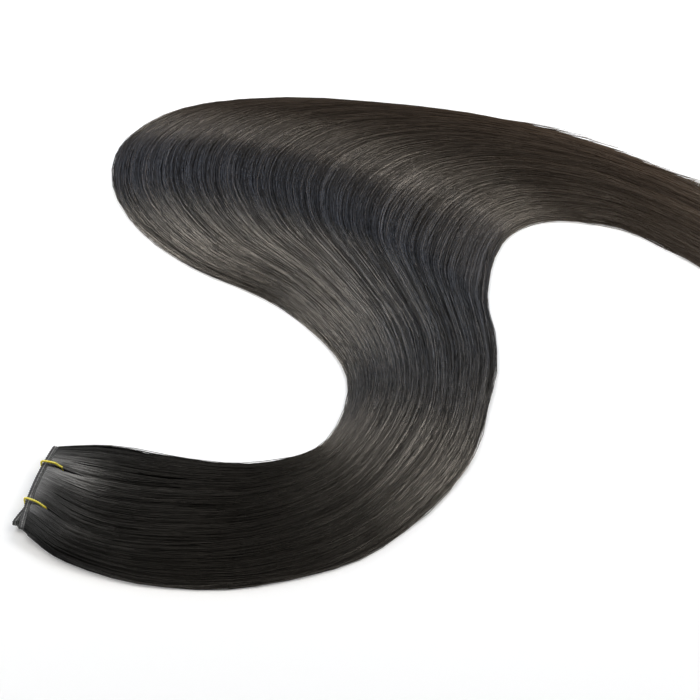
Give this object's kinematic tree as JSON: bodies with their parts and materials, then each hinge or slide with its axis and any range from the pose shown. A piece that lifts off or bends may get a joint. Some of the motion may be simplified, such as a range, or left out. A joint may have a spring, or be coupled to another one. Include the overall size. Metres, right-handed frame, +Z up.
{
  "type": "hair weft",
  "caption": "Long straight hair weft laid in an S curve, its sewn track folded in layers and held by thread ties, the dark locks fanning out and tapering to free tips.",
  "frame": {"origin": "on the surface that the weft lies on, under the middle of its bounding box", "axes": "+Z up from that surface, +X along the longest side of the lying curve, from the sewn track towards the free tips"},
  "size_m": [0.4577, 0.3473, 0.0111],
  "materials": {
    "hair": "silky straight hair, off-black at the root to dark brown at the tips",
    "sewn_track": "machine-sewn charcoal thread over hair roots",
    "tie_thread": "bright yellow twisted thread"
  },
  "bodies": {
    "root": {"hair_tress": "hair", "weft_track": "sewn_track", "tie_thread_1": "tie_thread", "tie_thread_2": "tie_thread"}
  },
  "joints": []
}
